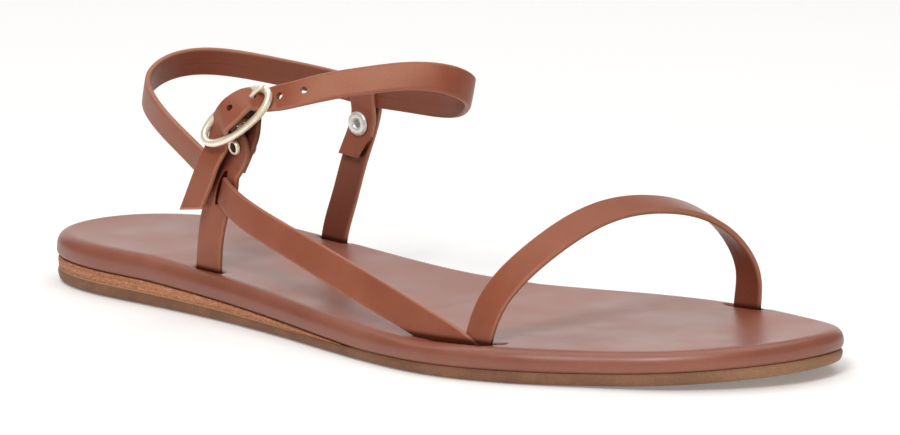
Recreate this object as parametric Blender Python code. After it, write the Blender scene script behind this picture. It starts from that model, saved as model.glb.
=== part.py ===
"""Flat leather sandal for the right foot: layered sole, padded footbed and slim buckled straps.

Lengths are millimetres in the tables and become metres when a mesh is made. In the tables x runs
from the back of the heel to the toe, y is positive towards the inner (medial) side and z is up from
the floor. An empty then carries every piece to the middle of the sandal.
"""
import math

import bmesh
import bpy
import numpy as np
from mathutils import Vector

MM = 0.001

# Driving dimensions of the sole
LENGTH = 250.0
HEEL_BACK = (0.0, 0.0)
TOE_TIP = (250.0, 12.0)
SECTIONS = 44
SPINE_INSET = 24.0
TOE_SPRING = 3.4
SPRING_START = 190.0
GAP = 0.3
WEDGE_END = 130.0
OUTSOLE_INSET = 0.6
WEDGE_INSET = 0.6
HEEL_DISH = 0.7
DISH_REACH = 1.4

# Outline of the footbed: station along the foot, edge on the outer and on the inner side
OUTLINE = (
    # station, outer, inner
    (5.5, -17.6, 16.4),
    (20.0, -26.4, 27.0),
    (45.0, -29.8, 30.6),
    (80.0, -33.2, 29.2),
    (115.0, -40.4, 28.0),
    (144.0, -47.4, 33.4),
    (169.0, -49.4, 41.0),
    (190.0, -43.9, 44.4),
    (209.0, -34.5, 43.8),
    (226.0, -25.2, 38.8),
    (238.4, -14.3, 33.0),
    (247.3, -0.8, 25.0),
)

# Thickness of each layer along the foot
LAYERS = (
    # station, outsole, wedge, footbed
    (0.0, 4.3, 3.1, 6.6),
    (50.0, 4.1, 3.0, 6.7),
    (120.0, 3.0, 0.9, 6.0),
    (136.0, 3.0, 0.3, 6.0),
    (140.0, 3.1, 0.0, 6.0),
    (160.0, 3.2, 0.0, 5.9),
    (190.0, 3.5, 0.0, 5.9),
    (250.0, 3.5, 0.0, 5.6),
)

# Edge of the padded footbed, from its tucked-in bottom to its flat top: inset from the outline and
# height, as a share of the thickness
FOOTBED_EDGE = (
    # inset, height
    (1.2, 0.00),
    (0.4, 0.10),
    (0.0, 0.33),
    (0.2, 0.60),
    (0.9, 0.82),
    (2.1, 0.96),
    (3.8, 1.00),
)
OUTSOLE_EDGE = (
    # inset, height
    (2.6, 0.00),
    (0.8, 0.12),
    (0.0, 0.42),
    (0.0, 1.00),
)
WEDGE_EDGE = (
    # inset, height
    (0.0, 0.00),
    (0.0, 1.00),
)
# Rings between the edge of a layer and its spine, as shares of the way to the edge
CAP_SHARES = (0.7, 0.35, 0.0)

# Straps: the centre of the leather, the way its face looks and its width. Heading 0 looks to the
# outer side and 90 to the toe, lean is upwards, both in degrees.
STRAP_THICKNESS = 1.6
STRAP_CORNER = 0.5
POST_WIDTH = 8.6
FOOT_DEPTH = 3.6

TOE_STRAP = (
    # x, y, z, heading, lean, width
    (176.8, -40.3, 3.0, 0, 0, 8.6),
    (178.0, -40.3, 9.0, 0, 0, 8.6),
    (181.0, -38.0, 20.0, 6, 14, 8.4),
    (186.0, -32.2, 29.0, 16, 35, 8.4),
    (189.3, -25.0, 34.4, 28, 52, 8.6),
    (193.2, -8.0, 40.6, 70, 68, 8.6),
    (197.0, 11.0, 40.6, 115, 67, 8.6),
    (199.0, 20.0, 38.4, 135, 60, 8.6),
    (201.2, 28.5, 34.0, 152, 48, 8.6),
    (203.0, 35.5, 27.0, 165, 32, 8.6),
    (203.8, 39.6, 18.5, 174, 12, 8.6),
    (203.0, 40.3, 10.5, 180, 0, 8.6),
    (202.4, 40.3, 3.0, 180, 0, 8.6),
)
ANKLE_STRAP = (
    # x, y, z, heading, lean, width
    (184.0, -41.4, 0.6, 0, 6, 8.6),
    (171.5, -41.9, 8.0, 0, 6, 8.6),
    (164.5, -42.3, 10.8, 0, 8, 8.5),
    (155.0, -41.7, 13.7, 2, 12, 8.4),
    (133.0, -38.6, 19.2, 6, 17, 8.5),
    (111.7, -36.0, 24.8, 6, 16, 8.2),
    (98.0, -34.5, 28.5, 2, 12, 8.0),
    (88.0, -33.0, 31.6, -10, 8, 8.0),
    (82.6, -31.7, 33.9, -20, 6, 8.0),
    (78.2, -29.6, 36.0, -27, 5, 8.0),
    (74.0, -27.5, 37.8, -27, 4, 7.9),
    (69.0, -25.4, 39.8, -27, 3, 7.8),
    (49.6, -19.2, 47.3, -36, 3, 7.6),
    (36.9, -13.0, 51.6, -50, 8, 7.8),
    (28.3, -4.8, 55.5, -74, 15, 8.0),
    (26.9, 4.6, 58.6, -105, 18, 8.0),
    (30.4, 13.4, 59.7, -130, 14, 7.9),
    (38.0, 21.0, 58.8, -152, 8, 7.8),
    (48.0, 25.0, 57.6, -168, 5, 7.8),
    (61.5, 26.5, 56.7, -178, 5, 7.8),
    (72.0, 26.6, 56.0, -180, 3, 7.7),
    (81.0, 26.5, 55.3, -181, 2, 7.7),
    (94.7, 25.2, 55.2, -184, 5, 7.6),
    (104.0, 24.2, 55.4, -188, 4, 7.6),
    (116.3, 21.8, 56.8, -202, 0, 7.8),
    (124.4, 17.6, 60.0, -224, -8, 8.0),
    (130.0, 11.5, 63.6, -254, -4, 8.0),
    (130.0, 5.5, 66.5, -286, 10, 8.0),
    (125.0, -0.2, 68.0, -310, 20, 7.8),
    (112.7, -10.2, 66.8, -320, 25, 7.6),
    (102.5, -18.3, 64.5, -326, 27, 7.6),
)
TAIL = (
    # x, y, z, heading, lean, width
    (77.2, -33.4, 44.7, -366, 4, 7.3),
    (75.7, -33.5, 41.0, -366, 2, 7.5),
    (70.4, -33.4, 30.0, -370, 0, 7.5),
)
OUTER_POST = (
    # x, y, z, heading, lean, width
    (70.8, -27.0, 5.0, -1, 0, 8.8),
    (71.0, -27.0, 12.7, -1, 0, 8.8),
    (73.3, -28.5, 23.5, 1, 0, POST_WIDTH),
    (75.7, -29.3, 30.0, 3, 0, POST_WIDTH),
    (78.6, -29.7, 36.4, -8, 0, POST_WIDTH),
    (80.4, -29.6, 41.0, -16, 0, POST_WIDTH),
    (82.8, -29.5, 48.2, -22, 0, 8.2),
)
INNER_POST = (
    # x, y, z, heading, lean, width
    (68.2, 26.4, 5.0, -180, 0, 8.8),
    (68.5, 26.6, 12.9, -180, 0, 8.8),
    (71.5, 27.4, 24.4, -180, 0, POST_WIDTH),
    (75.0, 27.9, 35.9, -181, 0, POST_WIDTH),
    (78.6, 28.0, 45.5, -181, 0, POST_WIDTH),
    (80.6, 27.9, 53.2, -181, 0, POST_WIDTH),
)
INNER_POST_BACK = (
    # x, y, z, heading, lean, width
    (81.0, 24.3, 53.8, -1, 0, POST_WIDTH),
    (80.7, 24.8, 51.4, -1, 0, POST_WIDTH),
    (80.2, 25.6, 49.2, -1, 0, POST_WIDTH),
    (79.2, 26.0, 45.5, -1, 0, POST_WIDTH),
    (75.7, 25.8, 37.2, -1, 0, POST_WIDTH),
)
FOLD_CENTRE = (81.0, 26.1, 58.4)
FOLD_RADIUS = 1.8
LAYER_SPACING = 1.95

# Buckle: its middle, the way it faces and its wire
BUCKLE_CENTRE = (84.3, -30.5, 56.4)
BUCKLE_HEADING = 25.0
BUCKLE_SLOPE = 28.5
BUCKLE_LEAN = 35.0
BUCKLE_LENGTH = 23.4
BUCKLE_HEIGHT = 13.4
BUCKLE_ROUNDNESS = 0.85
OVAL_STEPS = 40
WIRE = 2.1
BAR = 1.9
PRONG = 1.3
PRONG_POINTS = 13
LOOP_RADIUS = 2.15
LOOP_LEAD = 4.5
LOOP_WIDTH = 7.0
# Strap through the buckle: place in the buckle's axes, roll of its face and width
BUCKLE_PASS = (
    # along, out, across, roll, width
    (15.5, -2.6, -0.2, 0.0, 7.5),
    (11.0, -3.0, 0.6, 0.0, 7.2),
    (8.2, -2.2, 0.6, 0.1, 6.4),
    (6.5, 0.2, 0.5, 0.2, 6.2),
    (5.0, 2.7, 1.0, 0.33, 6.6),
    (1.5, 4.3, 1.5, 0.37, 7.2),
    (-3.0, 2.7, 0.4, 0.36, 7.0),
    (-6.6, -0.9, -0.9, -0.15, 6.4),
    (-8.9, -2.9, -3.2, 0.0, 6.6),
)
# Prong from the bar through the strap to the front end of the frame
PRONG_PATH = (
    # along, out, across
    (2.1, 0.2, 0.6),
    (4.3, 0.8, 1.1),
    (6.5, 1.7, 1.7),
    (8.6, 2.3, 2.2),
    (11.0, 2.05, 2.6),
)
PRONG_HOLE = 2.1

# Press studs through the folds of the posts: half width and height of the turned profiles
STUD_CAP = ((0.0, 1.2), (1.1, 1.05), (1.9, 0.7), (2.4, 0.25), (2.4, 0.0), (0.0, 0.0))
STUD_SOCKET = ((0.0, 0.4), (1.1, 0.4), (1.5, 0.9), (2.6, 0.9), (3.3, 0.5), (3.4, 0.0), (0.0, 0.0))
STUD_STEPS = 16
STUD_GAP = 0.45
SOCKET_GAP = 0.6
OUTER_STUD_Z = 47.0
INNER_STUD_Z = 46.6

# Fineness of the meshes
OUTLINE_SAMPLES = 4001
STRAP_STEPS = {"ankle_strap": 4.0, "toe_strap": 4.5, "outer_post": 2.2, "inner_post": 2.2}
SLIT_STEP = 3.0
FOOT_ROWS = 4
TANGENT_STEP = 0.05
STUD_SEARCH_STEP = 0.5
MERGE = 1e-4
SHARP_ANGLE = math.radians(40)

for old in list(bpy.data.objects):
    bpy.data.objects.remove(old, do_unlink=True)


def new_collection(name):
    """A collection of that name in the scene."""
    made = bpy.data.collections.new(name)
    bpy.context.scene.collection.children.link(made)
    return made


PIECES = new_collection("flat_sandal")
CUTTERS = new_collection("cutters")


def material(name, colour, roughness, metallic=0.0):
    """A plain finish for one kind of piece."""
    made = bpy.data.materials.new(name)
    made.use_nodes = True
    shader = made.node_tree.nodes["Principled BSDF"]
    shader.inputs["Base Color"].default_value = (*colour, 1.0)
    shader.inputs["Roughness"].default_value = roughness
    shader.inputs["Metallic"].default_value = metallic
    return made


CALF = material("chestnut_calf", (0.30, 0.10, 0.055), 0.45)
RAW_LEATHER = material("raw_leather_edge", (0.46, 0.17, 0.055), 0.8)
RUBBER = material("crepe_brown_rubber", (0.24, 0.12, 0.07), 0.7)
PALE_GOLD = material("pale_gold_plate", (0.83, 0.70, 0.47), 0.2, 1.0)
NICKEL = material("nickel_plate", (0.70, 0.69, 0.66), 0.25, 1.0)


def natural_slopes(knots, values, periodic):
    """Slopes of a cubic spline through values at the knots, open or closed."""
    count = len(knots)
    steps = np.diff(knots)
    rows = np.zeros((count, count))
    right = np.zeros((count, values.shape[1]))
    for i in range(count):
        if 0 < i < count - 1:
            before, after = steps[i - 1], steps[i]
            rows[i, i - 1] = 1.0 / before
            rows[i, i] = 2.0 * (1.0 / before + 1.0 / after)
            rows[i, i + 1] = 1.0 / after
            rise = (values[i] - values[i - 1]) / before ** 2
            fall = (values[i + 1] - values[i]) / after ** 2
            right[i] = 3.0 * (rise + fall)
    if periodic:
        before, after = steps[-1], steps[0]
        rows[0, -2] = 1.0 / before
        rows[0, 0] = 2.0 * (1.0 / before + 1.0 / after)
        rows[0, 1] = 1.0 / after
        right[0] = 3.0 * ((values[0] - values[-2]) / before ** 2 + (values[1] - values[0]) / after ** 2)
        rows[-1, 0] = 1.0
        rows[-1, -1] = -1.0
    else:
        rows[0, :2] = (2.0, 1.0)
        right[0] = 3.0 * (values[1] - values[0]) / steps[0]
        rows[-1, -2:] = (1.0, 2.0)
        right[-1] = 3.0 * (values[-1] - values[-2]) / steps[-1]
    return np.linalg.solve(rows, right)


def spline(points, guide=3, periodic=False):
    """A smooth curve through rows of numbers; the first guide columns set its pace."""
    values = np.asarray(points, float)
    if periodic:
        values = np.vstack([values, values[:1]])
    knots = np.r_[0.0, np.cumsum(np.linalg.norm(np.diff(values[:, :guide], axis=0), axis=1))]
    slopes = natural_slopes(knots, values, periodic)

    def at(place):
        place = np.atleast_1d(np.asarray(place, float))
        span = np.clip(np.searchsorted(knots, place, side="right") - 1, 0, len(knots) - 2)
        width = knots[span + 1] - knots[span]
        t = ((place - knots[span]) / width)[:, None]
        width = width[:, None]
        first, last = values[span], values[span + 1]
        rise, fall = slopes[span] * width, slopes[span + 1] * width
        blend = (1 + 2 * t) * (1 - t) ** 2 * first + t * (1 - t) ** 2 * rise
        return blend + t ** 2 * (3 - 2 * t) * last + t ** 2 * (t - 1) * fall

    return at, knots[-1]


def mesh_object(name, bm, finish):
    """Turn a bmesh in millimetres into a named, shaded object."""
    bmesh.ops.scale(bm, vec=(MM, MM, MM), verts=bm.verts)
    bmesh.ops.recalc_face_normals(bm, faces=bm.faces)
    data = bpy.data.meshes.new(name)
    bm.to_mesh(data)
    bm.free()
    data.shade_smooth()
    data.set_sharp_from_angle(angle=SHARP_ANGLE)
    data.materials.append(finish)
    made = bpy.data.objects.new(name, data)
    PIECES.objects.link(made)
    return made


def loft(rings, caps=True):
    """Skin a row of closed rings of points; points that coincide are merged."""
    bm = bmesh.new()
    rows = [[bm.verts.new(point) for point in ring] for ring in rings]
    count = len(rows[0])
    for low, high in zip(rows, rows[1:]):
        for i in range(count):
            j = (i + 1) % count
            bm.faces.new((low[i], low[j], high[j], high[i]))
    if caps:
        bm.faces.new(rows[0][::-1])
        bm.faces.new(rows[-1])
    bmesh.ops.remove_doubles(bm, verts=bm.verts, dist=MERGE)
    bmesh.ops.triangulate(bm, faces=bm.faces, quad_method="SHORT_EDGE")
    return bm


# Sole: outline, heights and the three layers
def outline_halves():
    """Outer and inner edge of the footbed at shared stations from heel to toe."""
    outer = [(x, y) for x, y, _ in OUTLINE]
    inner = [(x, y) for x, _, y in OUTLINE]
    closed = [HEEL_BACK, *outer, TOE_TIP, *inner[::-1]]
    curve, total = spline(closed, guide=2, periodic=True)
    fine = curve(np.linspace(0.0, total, OUTLINE_SAMPLES))
    toe = int(np.argmax(fine[:, 0]))
    along = LENGTH / 2 * (1 - np.cos(np.linspace(0.0, math.pi, SECTIONS + 1)))
    halves = []
    for half in (fine[:toe + 1], fine[toe:][::-1]):
        halves.append(np.c_[along, np.interp(along, half[:, 0], half[:, 1])])
    for half in halves:
        half[0], half[-1] = HEEL_BACK, TOE_TIP
    return halves


def layer(station, column):
    """Thickness of a layer at the stations: 1 outsole, 2 wedge, 3 footbed."""
    table = np.array(LAYERS)
    return np.interp(station, table[:, 0], table[:, column])


def floor_height(station):
    """Underside of the sole: flat to the ball, then the toe spring."""
    share = np.clip((station - SPRING_START) / (LENGTH - SPRING_START), 0.0, 1.0)
    return TOE_SPRING * share ** 2


def outsole_top(station):
    return floor_height(station) + layer(station, 1)


def footbed_bottom(station):
    return outsole_top(station) + layer(station, 2) + GAP


def footbed_top(station):
    return footbed_bottom(station) + layer(station, 3) - GAP


OUTER_EDGE, INNER_EDGE = outline_halves()


def ring_outline(end):
    """Closed outline and its spine, from the heel up to a station."""
    last = int(np.searchsorted(OUTER_EDGE[:, 0], end - MERGE))
    outer, inner = OUTER_EDGE[:last + 1].copy(), INNER_EDGE[:last + 1].copy()
    if last < SECTIONS:
        for half, full in ((outer, OUTER_EDGE), (inner, INNER_EDGE)):
            half[-1] = (end, np.interp(end, full[:, 0], full[:, 1]))
    reach = outer[-1, 0]
    middle = (outer + inner) / 2
    middle[:, 0] = SPINE_INSET + middle[:, 0] * (reach - 2 * SPINE_INSET) / reach
    back_half = slice(-2, 0, -1) if last >= SECTIONS else slice(None, 0, -1)
    return np.vstack([outer, inner[back_half]]), np.vstack([middle, middle[back_half]])


def inset_outline(outline, distance):
    """Move a closed outline inwards along its normals."""
    along = np.roll(outline, -1, 0) - np.roll(outline, 1, 0)
    along /= np.linalg.norm(along, axis=1)[:, None]
    return outline + np.c_[-along[:, 1], along[:, 0]] * distance


def sole_layer(name, edge, inset, low, high, finish, end=LENGTH, dish=0.0):
    """A layer of the sole: shaped edge, and caps that follow the foot's long curve."""
    outline, spine = ring_outline(end)
    rings = []

    def ring(plan, share, sink):
        bottom, top = low(plan[:, 0]), high(plan[:, 0])
        return np.c_[plan, bottom + (top - bottom) * share - sink]

    first = inset_outline(outline, inset + edge[0][0])
    last = inset_outline(outline, inset + edge[-1][0])
    for share in CAP_SHARES[::-1]:
        rings.append(ring(spine + (first - spine) * share, 0.0, 0.0))
    for step, height in edge:
        rings.append(ring(inset_outline(outline, inset + step), height, 0.0))
    for share in CAP_SHARES:
        plan = spine + (last - spine) * share
        fade = np.clip(DISH_REACH - plan[:, 0] / LENGTH, 0, 1)
        rings.append(ring(plan, 1.0, dish * (1 - share ** 2) * fade))
    return mesh_object(name, loft(rings, caps=False), finish)


outsole = sole_layer("outsole", OUTSOLE_EDGE, OUTSOLE_INSET, floor_height, outsole_top, RUBBER)
wedge = sole_layer("heel_wedge", WEDGE_EDGE, WEDGE_INSET, lambda x: outsole_top(x) + GAP,
                   lambda x: footbed_bottom(x) - GAP, RAW_LEATHER, end=WEDGE_END)
footbed = sole_layer("footbed", FOOTBED_EDGE, 0.0, footbed_bottom, footbed_top, CALF, dish=HEEL_DISH)


# Straps
def facing(heading, lean):
    """Unit vector that looks along a heading and leans up from level."""
    heading, lean = math.radians(heading), math.radians(lean)
    level = math.cos(lean)
    return np.array((math.sin(heading) * level, -math.cos(heading) * level, math.sin(lean)))


def strap_rows(table):
    """Rows of centre, face direction and width from a strap's table."""
    return [np.r_[row[:3], facing(row[3], row[4]), row[5]] for row in table]


def bend(centre, radius, start, across, width, steps=4):
    """Half turn of leather about an axis: from the start direction over the across direction."""
    rows = []
    for i in range(steps + 1):
        angle = math.pi * i / steps
        out = math.cos(angle) * np.asarray(start) + math.sin(angle) * np.asarray(across)
        rows.append(np.r_[np.asarray(centre) + radius * out, out, width])
    return rows


def strap_frames(rows, step):
    """Centres, face directions, across directions and widths along a strap."""
    curve, total = spline(rows)
    count = max(int(round(total / step)), 2)
    places = np.linspace(0.0, total, count + 1)
    found = curve(places)
    ahead = curve(np.clip(places + TANGENT_STEP, 0, total))
    behind = curve(np.clip(places - TANGENT_STEP, 0, total))
    along = (ahead - behind)[:, :3]
    along /= np.linalg.norm(along, axis=1)[:, None]
    face = found[:, 3:6]
    across = np.cross(face, along)
    across /= np.linalg.norm(across, axis=1)[:, None]
    face = np.cross(along, across)
    return found[:, :3], face, across, found[:, 6]


def strap(name, rows, step, grow=0.0):
    """A strip of leather with eased corners along the rows."""
    centres, faces, across, widths = strap_frames(rows, step)
    half = STRAP_THICKNESS / 2 + grow
    rings = []
    for centre, out, side, width in zip(centres, faces, across, widths):
        reach = width / 2 + grow
        flat, low = reach - STRAP_CORNER, half - STRAP_CORNER
        section = ((flat, half), (reach, low), (reach, -low), (flat, -half),
                   (-flat, -half), (-reach, -low), (-reach, low), (-flat, half))
        rings.append([centre + a * side + b * out for a, b in section])
    return mesh_object(name, loft(rings), CALF)


def trim_below(thing, height):
    """Cut a strap level at a height and close it."""
    bm = bmesh.new()
    bm.from_mesh(thing.data)
    parts = [*bm.verts, *bm.edges, *bm.faces]
    found = bmesh.ops.bisect_plane(bm, geom=parts, plane_co=(0, 0, height * MM), plane_no=(0, 0, -1),
                                   clear_outer=True)
    rim = [item for item in found["geom_cut"] if isinstance(item, bmesh.types.BMEdge)]
    bmesh.ops.holes_fill(bm, edges=rim, sides=0)
    bmesh.ops.recalc_face_normals(bm, faces=bm.faces)
    bm.to_mesh(thing.data)
    bm.free()


def as_cutter(thing):
    """Keep a shape as a guide only."""
    thing.hide_render = True
    thing.display_type = "WIRE"
    for home in list(thing.users_collection):
        home.objects.unlink(thing)
    CUTTERS.objects.link(thing)


def boolean(thing, other, operation):
    """Join or cut with another shape, which becomes a guide."""
    step = thing.modifiers.new(other.name, "BOOLEAN")
    step.operation = operation
    step.solver = "EXACT"
    step.use_self = operation == "UNION"
    step.object = other
    as_cutter(other)


# Buckle frame of reference: along the strap, across it and out of its face
def buckle_axes():
    heading, slope = math.radians(BUCKLE_HEADING), math.radians(BUCKLE_SLOPE)
    level = math.cos(slope)
    along = np.array((math.cos(heading) * level, math.sin(heading) * level, math.sin(slope)))
    out = facing(BUCKLE_HEADING, BUCKLE_LEAN)
    out -= out.dot(along) * along
    out /= np.linalg.norm(out)
    return along, np.cross(out, along), out


ALONG, ACROSS, OUT = buckle_axes()


def in_buckle(along, out, across=0.0):
    """A point given in the buckle's own axes."""
    return np.array(BUCKLE_CENTRE) + along * ALONG + out * OUT + across * ACROSS


def wire(name, points, radius, cyclic=False, resolution=2):
    """A round wire through points, as a closed mesh in millimetres."""
    data = bpy.data.curves.new(name, "CURVE")
    data.dimensions = "3D"
    data.bevel_depth = radius * MM
    data.bevel_resolution = resolution
    data.use_fill_caps = not cyclic
    path = data.splines.new("POLY")
    path.points.add(len(points) - 1)
    for knot, point in zip(path.points, points):
        knot.co = (*(np.asarray(point) * MM), 1.0)
    path.use_cyclic_u = cyclic
    guide = bpy.data.objects.new(name + "_path", data)
    PIECES.objects.link(guide)
    bpy.context.view_layer.update()
    graph = bpy.context.evaluated_depsgraph_get()
    found = bpy.data.meshes.new_from_object(guide.evaluated_get(graph))
    bm = bmesh.new()
    bm.from_mesh(found)
    bmesh.ops.scale(bm, vec=(1 / MM,) * 3, verts=bm.verts)
    bmesh.ops.remove_doubles(bm, verts=bm.verts, dist=MERGE)
    bpy.data.objects.remove(guide, do_unlink=True)
    bpy.data.meshes.remove(found)
    return bm


def buckle_oval():
    """Centre line of the frame: a full oval, a little squarer than an ellipse."""
    turns = np.linspace(0.0, 2 * math.pi, OVAL_STEPS, endpoint=False)
    across, up = np.cos(turns), np.sin(turns)
    reach = (BUCKLE_LENGTH - WIRE) / 2 * np.sign(across) * abs(across) ** BUCKLE_ROUNDNESS
    rise = (BUCKLE_HEIGHT - WIRE) / 2 * np.sign(up) * abs(up) ** BUCKLE_ROUNDNESS
    return [in_buckle(place, 0.0, height) for place, height in zip(reach, rise)]


frame = mesh_object("buckle_frame", wire("buckle_frame", buckle_oval(), WIRE / 2, cyclic=True), PALE_GOLD)
bar_half = (BUCKLE_HEIGHT - WIRE) / 2
bar_ends = [in_buckle(0.0, 0.0, -bar_half), in_buckle(0.0, 0.0, bar_half)]
bar = mesh_object("buckle_bar", wire("buckle_bar", bar_ends, BAR / 2), PALE_GOLD)
boolean(frame, bar, "UNION")
prong_curve, prong_length = spline([in_buckle(*row) for row in PRONG_PATH])
prong_points = prong_curve(np.linspace(0.0, prong_length, PRONG_POINTS))
prong = mesh_object("buckle_prong", wire("buckle_prong", prong_points, PRONG / 2), PALE_GOLD)

# The straps' routes, with the folds worked out
buckle_pass = []
for place, out, across, roll, width in BUCKLE_PASS:
    face = OUT + roll * ACROSS
    buckle_pass.append(np.r_[in_buckle(place, out, across), face / np.linalg.norm(face), width])
ankle_rows = strap_rows(ANKLE_STRAP) + buckle_pass + strap_rows(TAIL)
outer_rows = strap_rows(OUTER_POST)
approach = np.array(BUCKLE_CENTRE) - outer_rows[-1][:3]
approach -= approach.dot(ACROSS) * ACROSS
approach /= np.linalg.norm(approach)
outside = np.cross(ACROSS, approach)
outside *= math.copysign(1.0, outside.dot(OUT))
lead_in = np.array(BUCKLE_CENTRE) - approach * LOOP_LEAD
outer_rows.append(np.r_[lead_in + outside * LOOP_RADIUS, outside, LOOP_WIDTH])
outer_fold = bend(BUCKLE_CENTRE, LOOP_RADIUS, outside, approach, LOOP_WIDTH)
outer_back = []
for row in outer_rows[:-4:-1]:
    outer_back.append(np.r_[row[:3] - row[3:6] * LAYER_SPACING, -row[3:6], row[6]])
inner_fold = bend(FOLD_CENTRE, FOLD_RADIUS, (0, 1, 0), (0, 0, 1), POST_WIDTH)
inner_rows = strap_rows(INNER_POST) + inner_fold + strap_rows(INNER_POST_BACK)
routes = {
    "ankle_strap": ankle_rows,
    "toe_strap": strap_rows(TOE_STRAP),
    "outer_post": outer_rows + outer_fold + outer_back,
    "inner_post": inner_rows,
}


def foot_height(x):
    """Height where a strap ends inside its slit in the footbed."""
    return float(footbed_top(np.array([x]))[0]) - FOOT_DEPTH


# Each strap end sits in a slit that is cut a little wider than the leather
FEET = (
    # route, station, from its end
    ("toe_strap", 178.0, False),
    ("toe_strap", 203.0, True),
    ("ankle_strap", 172.0, False),
    ("outer_post", 71.0, False),
    ("inner_post", 68.5, False),
)
solids = {name: strap(name, rows, STRAP_STEPS[name]) for name, rows in routes.items()}
trims = {}
for route, station, from_end in FEET:
    trims[route] = max(trims.get(route, 0.0), foot_height(station))
    rows = routes[route][::-1] if from_end else routes[route]
    slit = strap(f"slit_{route}_{station:.0f}", rows[:FOOT_ROWS], SLIT_STEP, grow=GAP)
    trim_below(slit, foot_height(station) - GAP)
    boolean(footbed, slit, "DIFFERENCE")
for name, height in trims.items():
    trim_below(solids[name], height)

upper = solids["ankle_strap"]
upper.name = "upper_straps"
for name in ("toe_strap", "outer_post", "inner_post"):
    boolean(upper, solids[name], "UNION")
hole_points = [prong_points[0] * 2 - prong_points[1], *prong_points]
hole = mesh_object("prong_hole", wire("prong_hole", hole_points, PRONG_HOLE / 2), CALF)
boolean(upper, hole, "DIFFERENCE")


# Press studs
def stud(name, profile, centre, out, finish):
    """A turned stud half that stands on a face of the leather."""
    bm = bmesh.new()
    rim = [bm.verts.new((radius, 0.0, height)) for radius, height in profile]
    edges = [bm.edges.new(pair) for pair in zip(rim, rim[1:])]
    bmesh.ops.spin(bm, geom=[*rim, *edges], cent=(0, 0, 0), axis=(0, 0, 1), angle=2 * math.pi,
                   steps=STUD_STEPS, use_merge=True)
    bmesh.ops.remove_doubles(bm, verts=bm.verts, dist=MERGE)
    turn = Vector((0, 0, 1)).rotation_difference(Vector(out)).to_matrix()
    bmesh.ops.rotate(bm, cent=(0, 0, 0), matrix=turn, verts=bm.verts)
    bmesh.ops.translate(bm, vec=Vector(centre), verts=bm.verts)
    return mesh_object(name, bm, finish)


def stud_pair(name, rows, height):
    """Cap on the outside and socket on the inside, where a post reaches a height."""
    centres, faces, _, _ = strap_frames(rows, STUD_SEARCH_STEP)
    at = int(np.argmin(abs(centres[:, 2] - height)))
    half = STRAP_THICKNESS / 2
    outside_face = centres[at] + faces[at] * (half + STUD_GAP)
    inside_face = centres[at] - faces[at] * (LAYER_SPACING + half + SOCKET_GAP)
    stud(name + "_cap", STUD_CAP, outside_face, faces[at], PALE_GOLD)
    stud(name + "_socket", STUD_SOCKET, inside_face, -faces[at], NICKEL)


stud_pair("outer_stud", outer_rows, OUTER_STUD_Z)
stud_pair("inner_stud", strap_rows(INNER_POST), INNER_STUD_Z)

# The sandal stands over the middle of its outline
carrier = bpy.data.objects.new("sandal_middle", None)
PIECES.objects.link(carrier)
side_middle = (OUTER_EDGE[:, 1].min() + INNER_EDGE[:, 1].max()) / 2
carrier.location = (-LENGTH / 2 * MM, -side_middle * MM, 0.0)
for thing in [*PIECES.objects, *CUTTERS.objects]:
    if thing is not carrier:
        thing.parent = carrier
bpy.context.view_layer.update()
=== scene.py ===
"""Looks of a flat leather sandal for the right foot: layered sole, padded footbed, slim buckled straps.

Lengths are millimetres in the tables. In the tables x runs from the back of the heel to the toe, y is
positive towards the inner (medial) side and z is up from the floor; every finished mesh is carried to
the frame's metres.
"""
import math

import bmesh
import bpy
import numpy as np
from mathutils import Matrix, Vector


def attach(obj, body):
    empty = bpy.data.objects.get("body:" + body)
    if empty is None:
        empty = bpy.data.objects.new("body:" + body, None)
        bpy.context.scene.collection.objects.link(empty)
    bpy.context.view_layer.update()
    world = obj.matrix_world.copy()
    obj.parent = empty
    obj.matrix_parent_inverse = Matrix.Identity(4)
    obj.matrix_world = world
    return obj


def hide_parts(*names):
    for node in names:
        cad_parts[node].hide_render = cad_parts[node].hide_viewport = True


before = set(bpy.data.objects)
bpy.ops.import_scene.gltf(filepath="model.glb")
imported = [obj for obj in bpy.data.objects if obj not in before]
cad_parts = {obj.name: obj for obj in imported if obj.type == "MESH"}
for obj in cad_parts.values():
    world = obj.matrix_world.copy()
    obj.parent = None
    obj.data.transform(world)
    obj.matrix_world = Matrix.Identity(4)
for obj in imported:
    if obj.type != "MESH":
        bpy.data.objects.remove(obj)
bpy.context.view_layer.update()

MM = 0.001

# Sole
LENGTH = 250.0
HEEL_BACK = (0.0, 0.0)
TOE_TIP = (LENGTH, 12.0)
SPINE_INSET = 24.0
TOE_SPRING = 3.4
SPRING_START = 190.0
GAP = 0.1
WEDGE_SEAM = 0.03
WEDGE_GAP = 0.35
WEDGE_END = 134.0
LAYER_INSET = 0.45
HEEL_DISH = 0.7
DISH_REACH = 1.4
OUTLINE = (
    # station, outer, inner
    (5.5, -17.6, 16.4),
    (20.0, -26.4, 27.0),
    (45.0, -29.8, 30.6),
    (80.0, -33.2, 29.2),
    (115.0, -40.4, 28.0),
    (144.0, -47.4, 33.4),
    (169.0, -49.4, 41.0),
    (190.0, -43.9, 44.4),
    (209.0, -34.5, 43.8),
    (226.0, -25.2, 38.8),
    (238.4, -14.3, 33.0),
    (247.3, -0.8, 25.0),
)
LAYERS = (
    # station, outsole, wedge, footbed
    (0.0, 4.3, 3.1, 6.6),
    (50.0, 4.1, 3.0, 6.7),
    (120.0, 3.0, 0.9, 6.0),
    (136.0, 3.0, 0.3, 6.0),
    (140.0, 3.1, 0.0, 6.0),
    (160.0, 3.2, 0.0, 5.9),
    (190.0, 3.5, 0.0, 5.9),
    (250.0, 3.5, 0.0, 5.6),
)
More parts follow.
